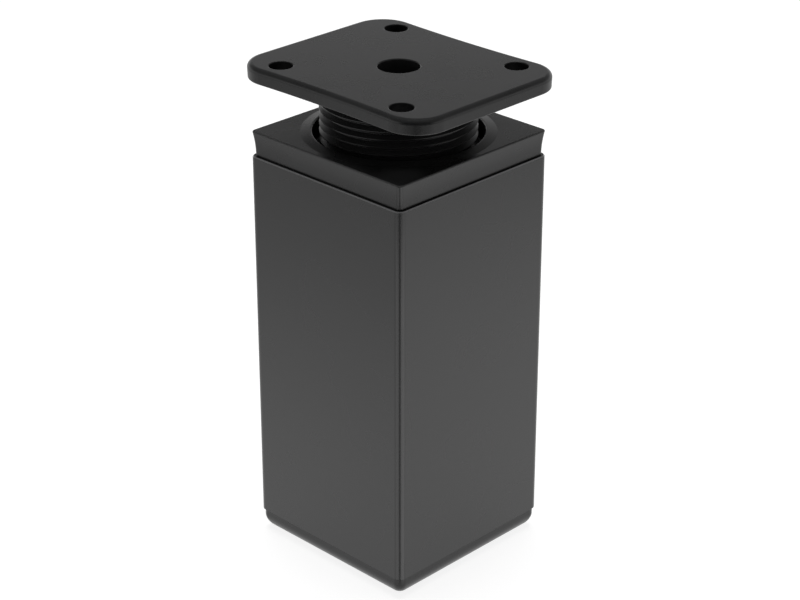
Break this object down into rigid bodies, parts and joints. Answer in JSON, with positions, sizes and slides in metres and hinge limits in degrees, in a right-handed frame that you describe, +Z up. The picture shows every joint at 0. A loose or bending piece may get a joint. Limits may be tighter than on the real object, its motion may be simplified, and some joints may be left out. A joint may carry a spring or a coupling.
{
  "type": "adjustable furniture leg",
  "caption": "Square furniture leg: a coated tube with a moulded foot and a top insert, and a screw plate whose threaded stem sets the height.",
  "frame": {"origin": "on the floor, under the middle of the foot", "axes": "+Z up along the leg to the mounting plate, +Y along the plate's longer sides, +X along its shorter sides"},
  "size_m": [0.04, 0.0484, 0.0996],
  "materials": {
    "coated_sleeve": "satin black coating",
    "black_plastic": "moulded, fine matte grain"
  },
  "bodies": {
    "leg": {"sleeve": "coated_sleeve", "top_insert": "black_plastic", "foot_cap": "black_plastic"},
    "plate": {"mounting_plate": "black_plastic"}
  },
  "joints": [
    {"name": "height_slide", "type": "slide", "parent": "leg", "child": "plate", "axis": [0, 0, 1], "range_m": [-0.009, 0.009]}
  ]
}
